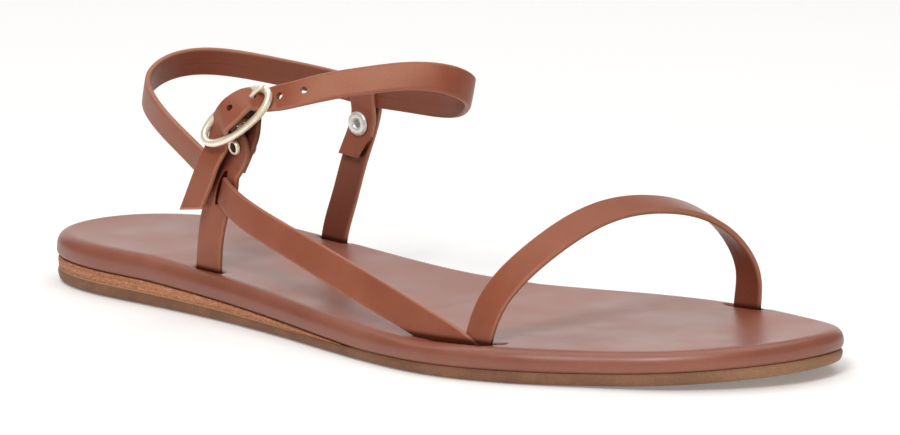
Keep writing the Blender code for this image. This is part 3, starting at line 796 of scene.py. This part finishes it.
def stations_round(line, count, crowd=0.0):
    """Points round a closed line, crowded towards its start, and their distance from the start."""
    closed = np.vstack([line, line[:1]])
    run = np.r_[0.0, np.cumsum(np.linalg.norm(np.diff(closed, axis=0), axis=1))]
    from_start = np.minimum(run, run[-1] - run)
    weight = 1.0 + crowd * bump_at(from_start, HEEL_CROWD_REACH)
    pace = np.r_[0.0, np.cumsum((weight[1:] + weight[:-1]) / 2 * np.diff(run))]
    wanted = np.linspace(0.0, pace[-1], count + 1)
    distance = np.interp(wanted, pace, run)
    points = np.c_[np.interp(distance, run, closed[:, 0]), np.interp(distance, run, closed[:, 1])]
    points[-1] = points[0]
    return points, np.where(distance > run[-1] / 2, distance - run[-1], distance)


def middle_line(station):
    """Middle between the outer and the inner edge at the stations."""
    toe = int(np.argmax(EDGE_LINE[:, 0]))
    outer, inner = EDGE_LINE[:toe + 1], EDGE_LINE[toe:][::-1]
    return (np.interp(station, *outer.T) + np.interp(station, *inner.T)) / 2


def sole_rows(edge, below_rows, edge_rows, above_rows):
    """Rows from the spine below, round the edge, to the spine on top: reach, inset and height share."""
    scaled = [(inset, height * EDGE_HEIGHT) for inset, height in edge]
    curve, total = spline(scaled, guide=2)
    rim = curve(np.linspace(0.0, total, edge_rows + 1))
    rim[:, 1] = np.clip(rim[:, 1] / EDGE_HEIGHT, 0.0, 1.0)
    below = [(reach, edge[0][0], 0.0) for reach in np.linspace(0.0, 1.0, below_rows, endpoint=False)]
    round_edge = [(1.0, inset, height) for inset, height in rim]
    shares = np.linspace(0.0, 1.0, above_rows + 1)[1:]
    above = [(1.0 - share ** RIM_CROWD, edge[-1][0], 1.0) for share in shares]
    return np.array(below + round_edge + above)


def sole_skin(line, distance, rows, low, high, extra=None, marks=None):
    """A layer of the sole over a closed edge line; extra moves points from the table's own form."""
    inward = inwards(line[:-1])
    inward = np.vstack([inward, inward[:1]])
    reach_end = line[:, 0].max()
    spine_x = SPINE_INSET + line[:, 0] * (reach_end - 2 * SPINE_INSET) / reach_end
    spine = np.c_[spine_x, middle_line(line[:, 0])]

    def shape(around, up):
        reach, inset, height = rows[up].T
        rim = line[around] + inward[around] * inset[:, None]
        plan = spine[around] + (rim - spine[around]) * reach[:, None]
        bottom, top = low(plan[:, 0]), high(plan[:, 0])
        points = np.c_[plan, bottom + (top - bottom) * height]
        if extra:
            points += extra(points, inward[around], distance[around], reach, height)
        return points

    mark_rows = (lambda around, up: marks(shape(around, up), rows[up])) if marks else None
    return skin(len(line) - 1, len(rows) - 1, shape, mark_rows)


def slit_distance(points, x, y, half, ahead=0.0, behind=0.0, slant=0.0):
    """Distance in plan from a slit that runs along the foot, drawn out past its ends."""
    past_front = np.maximum(points[:, 0] - x - half - ahead, 0.0)
    past_back = np.maximum(x - half - behind - points[:, 0], 0.0)
    aside = points[:, 1] - y - slant * np.clip(points[:, 0] - x - half, 0.0, ahead)
    return np.hypot(past_front + past_back, aside)


def slit_shade(points, rows):
    """How much painted shade darkens the footbed's leather: at its slits, and a little on its side."""
    shade = np.zeros(len(points))
    for x, y, half, _, ahead, behind, slant in SLITS:
        away = slit_distance(points, x, y, half)
        pocket = slit_distance(points, x, y, half, ahead, behind, slant)
        shade = np.maximum(shade, bump_at(away, SLIT_SHADE_REACH))
        shade = np.maximum(shade, bump_at(pocket, POCKET_SHADE_REACH))
    on_top = smooth_share(rows[:, 2], *TOP_SHARE)
    side = (1 - smooth_share(rows[:, 2], *SIDE_SHARE)) * (1 - smooth_share(points[:, 0], *SIDE_SHADE_END))
    return {"foot": shade * on_top + SIDE_SHADE * side}


def footbed_relief(points, inward, distance, reach, height):
    """Heel dish, dips and puckers at the slits, gathers below the heel and the pad's slight unevenness."""
    moved = np.zeros_like(points)
    x, y = points[:, 0], points[:, 1]
    on_top = smooth_share(height, *TOP_SHARE)
    flat = np.where(height >= 1.0, 1 - reach ** 2, 0.0)
    moved[:, 2] -= HEEL_DISH * flat * np.clip(DISH_REACH - x / LENGTH, 0, 1)
    for pressed_x, pressed_y, pressed_reach, depth in PRESSED:
        moved[:, 2] -= depth * on_top * bump_at(np.hypot(x - pressed_x, y - pressed_y), pressed_reach)
    for slit_x, slit_y, half, dip, ahead, behind, slant in SLITS:
        away = slit_distance(points, slit_x, slit_y, half)
        pocket = slit_distance(points, slit_x, slit_y, half, ahead, behind, slant)
        moved[:, 2] -= POCKET_DEPTH * on_top * bump_at(pocket, POCKET_REACH)
        ring = bump_at(away - PUCKER_REACH, PUCKER_WIDTH) * uneven(np.sin(x * 1.9 + y * 1.3))
        moved[:, 2] += on_top * (PUCKER_RISE * ring - dip * bump_at(away, DIP_REACH))
    wave = np.sin(x / 17.0 + 0.6) * np.sin(y / 13.0 + 0.4) + 0.5 * np.sin(x / 8.3 - y / 9.7)
    moved[:, 2] += PAD_WAVE * wave * on_top
    for place, slant, depth in HEEL_GATHERS:
        across = distance - place - slant * height * EDGE_HEIGHT
        low = (1 - smooth_share(height, *GATHER_FADE)) * smooth_share(reach, GATHER_RIM, 1.0)
        ridge = GATHER_RIDGE * bump_at(across - GATHER_WIDTH, GATHER_WIDTH / 2)
        fold = bump_at(across, GATHER_WIDTH / 2) - ridge
        moved[:, :2] += inward * (depth * fold * low)[:, None]
    return moved


def outsole_rim(points, rows):
    """Pale rubber: a line along the heel's upper edge, and all of the sheet towards the toe."""
    upper = smooth_share(rows[:, 2], *RIM_HEIGHT)
    line = RIM_LINE * upper * (1 - smooth_share(points[:, 0], *RIM_END))
    return {"rim": np.maximum(line, TOE_RIM * smooth_share(points[:, 0], TOE_RIM_START, LENGTH))}


def wedge_line():
    """Edge line of the heel wedge: the sole's inset edge up to a straight front."""
    line = inset_line(EDGE_LINE[:-1], LAYER_INSET)
    toe = int(np.argmax(line[:, 0]))
    outer = line[:toe][line[:toe, 0] <= WEDGE_END - LAYER_INSET]
    inner = line[toe:][line[toe:, 0] <= WEDGE_END - LAYER_INSET]
    share = np.linspace(0.0, 1.0, WEDGE_FRONT)[1:-1, None]
    front = outer[-1] + (inner[0] - outer[-1]) * share
    return np.vstack([outer, front, inner])


footbed_line, footbed_run = stations_round(EDGE_LINE[:-1], FOOTBED_ROUND, crowd=HEEL_CROWD)
footbed_mesh = sole_skin(footbed_line, footbed_run, sole_rows(FOOTBED_EDGE, *FOOTBED_ROWS),
                         footbed_bottom, footbed_top, footbed_relief, slit_shade)
wrapped_footbed = piece("wrapped_footbed", footbed_mesh, [FOOTBED_CALF], "footbed")
outsole_line, outsole_run = stations_round(inset_line(EDGE_LINE[:-1], LAYER_INSET), OUTSOLE_ROUND)
outsole_mesh = sole_skin(outsole_line, outsole_run, sole_rows(OUTSOLE_EDGE, *OUTSOLE_ROWS),
                         floor_height, outsole_top, marks=outsole_rim)
piece("sheet_outsole", outsole_mesh, [RUBBER], "outsole")
wedge_edge, wedge_run = stations_round(wedge_line(), WEDGE_ROUND)
wedge_mesh = sole_skin(wedge_edge, wedge_run, sole_rows(WEDGE_EDGE, *WEDGE_ROWS),
                       lambda x: outsole_top(x) + WEDGE_SEAM, lambda x: footbed_bottom(x) - WEDGE_GAP)
piece("board_wedge", wedge_mesh, [BOARD], "heel_wedge")


# Straps
def facing(heading, lean):
    """Unit vector that looks along a heading and leans up from level."""
    heading, lean = math.radians(heading), math.radians(lean)
    level = math.cos(lean)
    return np.array((math.sin(heading) * level, -math.cos(heading) * level, math.sin(lean)))


def strap_rows(table):
    """Rows of centre, face direction and width from a strap's table."""
    return [np.r_[row[:3], facing(row[3], row[4]), row[5]] for row in table]


def bend(centre, radius, start, across, width):
    """Half turn of leather about an axis: from the start direction over the across direction."""
    rows = []
    for i in range(FOLD_STEPS + 1):
        angle = math.pi * i / FOLD_STEPS
        out = math.cos(angle) * np.asarray(start) + math.sin(angle) * np.asarray(across)
        rows.append(np.r_[np.asarray(centre) + radius * out, out, width])
    return rows


def strap_frames(rows, step):
    """Distances, centres, face directions, across directions and widths along a strap."""
    curve, total = spline(rows)
    places = np.linspace(0.0, total, max(int(round(total / step)), 2) + 1)
    found = curve(places)
    ahead = curve(np.clip(places + TANGENT_STEP, 0, total))[:, :3]
    along = ahead - curve(np.clip(places - TANGENT_STEP, 0, total))[:, :3]
    along /= np.linalg.norm(along, axis=1)[:, None]
    across = np.cross(found[:, 3:6], along)
    across /= np.linalg.norm(across, axis=1)[:, None]
    return places, found[:, :3], np.cross(along, across), across, found[:, 6]


def strap_section():
    """Once round the leather from the middle of its inside: share across, offsets, looks and inside."""
    half, flat = THICKNESS / 2, THICKNESS / 2 - CORNER
    rows = [(share, 0.0, -half, 0.0, -1.0, 1.0) for share in np.linspace(0.0, 1.0, FACE_STEPS + 1)]
    for side, start, rise in ((1, -90, -flat), (1, 0, flat), (-1, 90, flat), (-1, 180, -flat)):
        if start == 90:
            shares = np.linspace(1.0, -1.0, 2 * FACE_STEPS + 1)[1:-1]
            rows += [(share, 0.0, half, 0.0, 1.0, 0.0) for share in shares]
        for turn in np.radians(np.linspace(start, start + 90, CORNER_STEPS + 1)):
            out = (math.cos(turn), math.sin(turn))
            inside = 1.0 if out[1] < LINED_LOOK else 0.0
            rows.append((side, CORNER * out[0], rise + CORNER * out[1], *out, inside))
    rows += [(share, 0.0, -half, 0.0, -1.0, 1.0) for share in np.linspace(-1.0, 0.0, FACE_STEPS + 1)[1:]]
    return np.array(rows)


SECTION = strap_section()


def plain_relief(along, across, inside, width):
    """Fullness of the turned leather, the lining's two joints and a hand-made unevenness."""
    rise = STRAP_CROWN * (1 - (2 * across / width) ** 2)
    for height, pace, turn in STRAP_WAVES:
        rise = rise + height * np.sin(along / pace + across * turn)
    joints = sum(share * bump_at(across - place, half) for place, half, share in LINING_JOINTS)
    return rise - JOINT_DEPTH * joints * inside


def strap_skin(rows, step, shift=None, extra=None):
    """Leather along the rows; shift moves the sheet out of its face and across, extra adds to its marks."""
    places, centres, faces, sides, widths = strap_frames(rows, step)
    share, wide, thick, look_wide, look_out, inside = SECTION.T

    def spread(row, column):
        half = widths[row] / 2
        across = share[column] * (half - CORNER) + wide[column]
        return places[row], across, widths[row]

    def shape(row, column):
        along, across, width = spread(row, column)
        rise = plain_relief(along, across, inside[column], width)
        out, over = shift(along, across) if shift else (0.0, 0.0)
        face = thick[column] + look_out[column] * rise + out
        side = across + look_wide[column] * rise + over
        return centres[row] + faces[row] * face[:, None] + sides[row] * side[:, None]

    def marks(row, column):
        along, across, width = spread(row, column)
        points = shape(row, column)
        above = points[:, 2] - footbed_top(points[:, 0])
        # Pale band along the edges: partly a paler edge finish, partly a painted highlight; painted shade
        # near the footbed
        found = {"edge": smooth_share(abs(across), width / 2 - PALE_EDGE_AND_HIGHLIGHT, width / 2),
                 "inside": inside[column],
                 "foot": FOOT_SHADE * (1 - smooth_share(above, 0.0, FOOT_SHADE_HEIGHT))}
        for name, more in (extra(points, along, across) if extra else {}).items():
            found[name] = np.maximum(found[name], more)
        return found

    return skin(len(places) - 1, len(SECTION) - 1, shape, marks)


def trim_below(bm, height):
    """Cut a strap level at a height."""
    parts = [*bm.verts, *bm.edges, *bm.faces]
    bmesh.ops.bisect_plane(bm, geom=parts, plane_co=(0, 0, height), plane_no=(0, 0, -1), clear_outer=True)


def foot_height(x):
    """Height where a strap ends inside its slit in the footbed."""
    return float(footbed_top(np.array([x]))[0]) - FOOT_DEPTH


def buckle_axes():
    """The buckle's own axes: along the strap, across it and out of its face."""
    heading, slope = math.radians(BUCKLE_HEADING), math.radians(BUCKLE_SLOPE)
    level = math.cos(slope)
    along = np.array((math.cos(heading) * level, math.sin(heading) * level, math.sin(slope)))
    out = facing(BUCKLE_HEADING, BUCKLE_LEAN)
    out -= out.dot(along) * along
    out /= np.linalg.norm(out)
    return along, np.cross(out, along), out


ALONG, ACROSS, OUT = buckle_axes()


def in_buckle(along, out, across):
    """A point given in the buckle's own axes."""
    return np.array(BUCKLE_CENTRE) + along * ALONG + out * OUT + across * ACROSS


def in_oval(along, across):
    """A point in the frame's plane: the oval lies askew to the strap."""
    turn = math.radians(BUCKLE_TURN)
    return in_buckle(along * math.cos(turn) - across * math.sin(turn), 0.0,
                     along * math.sin(turn) + across * math.cos(turn) - BUCKLE_DROP)


# Rows of the ankle strap through the buckle, and of the posts with their folds
BAR_WAY = in_oval(0.0, 1.0) - in_oval(0.0, 0.0)
BAR_MIDDLE = in_oval(0.0, 0.0)
buckle_pass = []
for place, out, across, roll, width in BUCKLE_PASS:
    face = OUT + roll * ACROSS
    buckle_pass.append(np.r_[in_buckle(place, out, across), face / np.linalg.norm(face), width])
ankle_rows = strap_rows(ANKLE_STRAP) + buckle_pass + strap_rows(TAIL)
outer_rows = strap_rows(OUTER_POST)
approach = BAR_MIDDLE - outer_rows[-1][:3]
approach -= approach.dot(BAR_WAY) * BAR_WAY
approach /= np.linalg.norm(approach)
outside = np.cross(BAR_WAY, approach)
outside *= math.copysign(1.0, outside.dot(OUT))
lead_in = BAR_MIDDLE - approach * LOOP_LEAD
outer_rows.append(np.r_[lead_in + outside * LOOP_RADIUS, outside, LOOP_WIDTH])
outer_fold = bend(BAR_MIDDLE, LOOP_RADIUS, outside, approach, LOOP_WIDTH)[:-1]
slack = BAR_MIDDLE - outside * (LOOP_RADIUS + LOOP_SLACK) - approach * LOOP_BACK
outer_fold.append(np.r_[slack, -outside, LOOP_WIDTH])
inner_fold = bend(FOLD_CENTRE, FOLD_RADIUS, (0, 1, 0), (0, 0, 1), POST_WIDTH)
inner_rows = strap_rows(INNER_POST) + inner_fold + strap_rows(INNER_POST_BACK)


def split_opening(along):
    """How far the cut in the outer post gapes where the ankle strap goes through it."""
    place = np.clip((along - SPLIT_MIDDLE) / SPLIT_HALF, -1.0, 1.0)
    return (1 - place ** 2) ** 1.5


def split_shift(along, across):
    """The heel half of the split lies over the strap and the toe half under it."""
    side = np.where(across > SPLIT_ASIDE, 1.0, -1.0)
    opening = split_opening(along)
    return SPLIT_LIFT * opening * side, SPLIT_GAPE * opening * side * bump_at(across, SPLIT_REACH)


def post_marks(points, along, across):
    """Painted shade in the cut's throat and under the tail and buckle; pale fibres along the cut's heel lip.
    """
    opening = smooth_share(split_opening(along), *SPLIT_OPEN)
    frayed = uneven(np.sin(along * FRAY_PACES[0]) * np.sin(along * FRAY_PACES[1]))
    throat = opening * (abs(across - THROAT_ASIDE) < THROAT_HALF)
    under_tail = smooth_share(across, *TAIL_SHADE_ACROSS) * smooth_share(along, *TAIL_SHADE_ALONG)
    under_buckle = BUCKLE_SHADE * smooth_share(points[:, 2], *BUCKLE_SHADE_UP)
    return {"foot": np.maximum(throat, np.maximum(TAIL_SHADE * under_tail, under_buckle)),
            "edge": opening * frayed * bump_at(across - LIP_ASIDE, LIP_REACH)}


def tail_highlight(points, along, across):
    """Painted highlight: a pale line along the tail's cut end."""
    from_end = points - np.array(TAIL_CUT)
    past = from_end @ np.array(TAIL_CUT_LOOK)
    near = np.linalg.norm(from_end, axis=1) < TAIL_NEAR
    return {"edge": TAIL_HIGHLIGHT * smooth_share(past, *TAIL_HIGHLIGHT_BAND) * near}


def trim_near(bm, point, look, reach, side=math.inf):
    """Cut off what lies past a plane, only near a point and short of a side."""
    near = []
    for face in bm.faces:
        middle = face.calc_center_median()
        if (middle - Vector(point)).length < reach and middle.y < side:
            near.append(face)
    edges = {edge for face in near for edge in face.edges}
    verts = {vert for face in near for vert in face.verts}
    parts = [*verts, *edges, *near]
    bmesh.ops.bisect_plane(bm, geom=parts, plane_co=point, plane_no=look, clear_outer=True)


def stand_on(bm, centre, out):
    """Turn an upright shape to look out of a face and move it there."""
    turn = Vector((0, 0, 1)).rotation_difference(Vector(out)).to_matrix()
    bmesh.ops.rotate(bm, cent=(0, 0, 0), matrix=turn, verts=bm.verts)
    bmesh.ops.translate(bm, vec=Vector(centre), verts=bm.verts)


def strap_punches(rows):
    """Punches for the strap's row of holes, square to its face."""
    places, centres, faces, sides, _ = strap_frames(rows, SEARCH_STEP)
    punches = []
    for back, aside in STRAP_HOLES:
        at = int(np.argmin(abs(places[-1] - back - places)))
        bm = bmesh.new()
        bmesh.ops.create_cone(bm, cap_ends=True, segments=HOLE_SIDES, radius1=HOLE / 2, radius2=HOLE / 2,
                              depth=HOLE_DEPTH)
        stand_on(bm, centres[at] + aside * sides[at], faces[at])
        punches.append(bm)
    return punches


STRAPS = (
    # name, rows, step, station of its foot, shift, marks
    ("toe_strap", strap_rows(TOE_STRAP), 0.6, 178.0, None, None),
    ("ankle_strap", ankle_rows, 0.6, 172.0, None, tail_highlight),
    ("outer_post", outer_rows + outer_fold + strap_rows(OUTER_POST_BACK), 0.4, 71.0, split_shift, post_marks),
    ("inner_post", inner_rows, 0.45, 68.5, None, None),
)
for name, rows, step, station, shift, extra in STRAPS:
    strap_mesh = strap_skin(rows, step, shift, extra)
    if name == "ankle_strap":
        trim_near(strap_mesh, TAIL_CUT, TAIL_CUT_LOOK, TAIL_NEAR)
    if name == "inner_post":
        for point, look in FLAP_CUTS:
            trim_near(strap_mesh, point, look, FLAP_NEAR, FLAP_SIDE)
    trim_below(strap_mesh, foot_height(station))
    close_ends(strap_mesh, 1)
    strap = piece(name, strap_mesh, [STRAP_CALF, CUT_EDGE], "upper_straps")
    if name == "ankle_strap":
        cut(strap, strap_punches(rows))


# Buckle
def wire_skin(points, radius, closed=False):
    """A round wire through points; radius is one number or one for each point."""
    points = np.asarray(points)
    ahead, behind = np.roll(points, -1, 0), np.roll(points, 1, 0)
    if closed:
        ahead[-1], behind[0] = points[1], points[-2]
    else:
        ahead[-1], behind[0] = points[-1], points[0]
    along = (ahead - behind) / np.linalg.norm(ahead - behind, axis=1)[:, None]
    side = np.cross(along, OUT)
    side /= np.linalg.norm(side, axis=1)[:, None]
    up = np.cross(side, along)
    radius = np.broadcast_to(radius, len(points))
    turns = np.linspace(0.0, 2 * math.pi, WIRE_SIDES + 1)

    def shape(row, column):
        turn = turns[column][:, None]
        return points[row] + (np.cos(turn) * side[row] + np.sin(turn) * up[row]) * radius[row][:, None]

    bm = skin(len(points) - 1, WIRE_SIDES, shape)
    if not closed:
        close_ends(bm)
    return bm


def buckle_oval(steps):
    """Centre line of the frame: a full oval, a little squarer than an ellipse."""
    turns = np.linspace(0.0, 2 * math.pi, steps + 1)
    across, up = np.cos(turns), np.sin(turns)
    reach = (BUCKLE_LENGTH - WIRE) / 2 * np.sign(across) * abs(across) ** BUCKLE_ROUNDNESS
    rise = (BUCKLE_HEIGHT - WIRE) / 2 * np.sign(up) * abs(up) ** BUCKLE_ROUNDNESS
    points = [in_oval(place, height) for place, height in zip(reach, rise)]
    points[-1] = points[0]
    return points


bar_half = (BUCKLE_HEIGHT - WIRE) / 2
frame_mesh = wire_skin(buckle_oval(BUCKLE_STEPS), WIRE / 2, closed=True)
piece("wire_buckle", frame_mesh, [PALE_GOLD], "buckle_frame")
bar_line = [in_oval(0.0, height) for height in np.linspace(-bar_half, bar_half, BAR_STEPS)]
piece("buckle_bar", wire_skin(bar_line, BAR / 2), [PALE_GOLD], "buckle_frame")
prong_curve, prong_length = spline([in_buckle(*row) for row in PRONG_PATH])
prong_line = prong_curve(np.linspace(0.0, prong_length, PRONG_STEPS))
prong_end = np.clip(np.linspace(prong_length, 0.0, PRONG_STEPS) / PRONG, 0.0, 1.0)
prong_mesh = wire_skin(prong_line, PRONG / 2 * np.sqrt(np.clip(1 - (1 - prong_end) ** 2, PRONG_TIP, 1.0)))
piece("wire_prong", prong_mesh, [PALE_GOLD], "buckle_prong")


# Press studs
def turned_stud(profile, hollow, centre, out):
    """A turned stud half that stands on a face of the leather, with a dull hollow painted dark as shade."""
    bm = bmesh.new()
    rim = [bm.verts.new((radius, 0.0, height)) for radius, height in profile]
    edges = [bm.edges.new(pair) for pair in zip(rim, rim[1:])]
    bmesh.ops.spin(bm, geom=[*rim, *edges], cent=(0, 0, 0), axis=(0, 0, 1), angle=2 * math.pi,
                   steps=STUD_STEPS, use_merge=True)
    bmesh.ops.remove_doubles(bm, verts=bm.verts, dist=MERGE)
    for face in bm.faces:
        face.material_index = int(face.calc_center_median().xy.length < hollow)
    stand_on(bm, centre, out)
    return bm


STUDS = (
    # name, rows of its post, height
    ("outer_stud", outer_rows, OUTER_STUD_Z),
    ("inner_stud", strap_rows(INNER_POST), INNER_STUD_Z),
)
for name, rows, stud_z in STUDS:
    _, centres, faces, _, _ = strap_frames(rows, SEARCH_STEP)
    at = int(np.argmin(abs(centres[:, 2] - stud_z)))
    cap_seat = centres[at] + faces[at] * (THICKNESS / 2 + STUD_GAP)
    socket_seat = centres[at] - faces[at] * (LAYER_SPACING + THICKNESS / 2 + SOCKET_GAP)
    piece("turned_" + name + "_cap", turned_stud(STUD_CAP, CAP_HOLLOW, cap_seat, faces[at]),
          [PALE_GOLD, BRASS_HOLLOW_SHADE], name + "_cap")
    piece("turned_" + name + "_socket", turned_stud(STUD_SOCKET, SOCKET_HOLLOW, socket_seat, -faces[at]),
          [NICKEL, NICKEL_HOLLOW_SHADE], name + "_socket")


# Studio
def studio_floor():
    """A wide sheet of pale paper, matt and even."""
    made, _, _ = blank("pale_paper_floor", {"Roughness": 0.9, "Specular IOR Level": 0.1,
                                            "Base Color": linear("#F3F2F0"),
                                            "Emission Color": linear("#FFFFFF"),
                                            "Emission Strength": FLOOR_GLOW})
    bm = bmesh.new()
    bmesh.ops.create_grid(bm, x_segments=1, y_segments=1, size=FLOOR_HALF)
    floor = placed("paper_floor", bm)
    floor.data.materials.append(made)


def aimed(name, data, place, target):
    """A lamp or camera at a place that looks at a target."""
    made = bpy.data.objects.new(name, data)
    made.location = place
    made.rotation_mode = "QUATERNION"
    made.rotation_quaternion = (Vector(target) - Vector(place)).to_track_quat("-Z", "Y")
    bpy.context.scene.collection.objects.link(made)
    return made


def soft_light(name, place, target, size, power):
    """A soft box that looks at a point."""
    data = bpy.data.lights.new(name, "AREA")
    data.shape = "RECTANGLE"
    data.size, data.size_y = size
    data.energy = power
    aimed(name, data, place, target)


studio_floor()
for box in SOFT_BOXES:
    soft_light(*box)
world = bpy.data.worlds.new("white_room")
world.use_nodes = True
world.node_tree.nodes["Background"].inputs["Color"].default_value = linear("#FFFFFF")
world.node_tree.nodes["Background"].inputs["Strength"].default_value = ROOM_LIGHT
bpy.context.scene.world = world
bpy.context.scene.view_settings.view_transform = "Standard"

# Camera
camera_data = bpy.data.cameras.new("photo_camera")
camera_data.sensor_width = SENSOR
camera_data.lens = FOCAL_PIXELS * SENSOR / PICTURE_WIDTH
camera_data.clip_start, camera_data.clip_end = CLIP_START, CLIP_END
stand = Vector(FOOT_MIDDLE) + Vector(facing(AZIMUTH, ELEVATION)) * STAND_OFF
bpy.context.scene.camera = aimed("photo_camera", camera_data, stand, AIM)
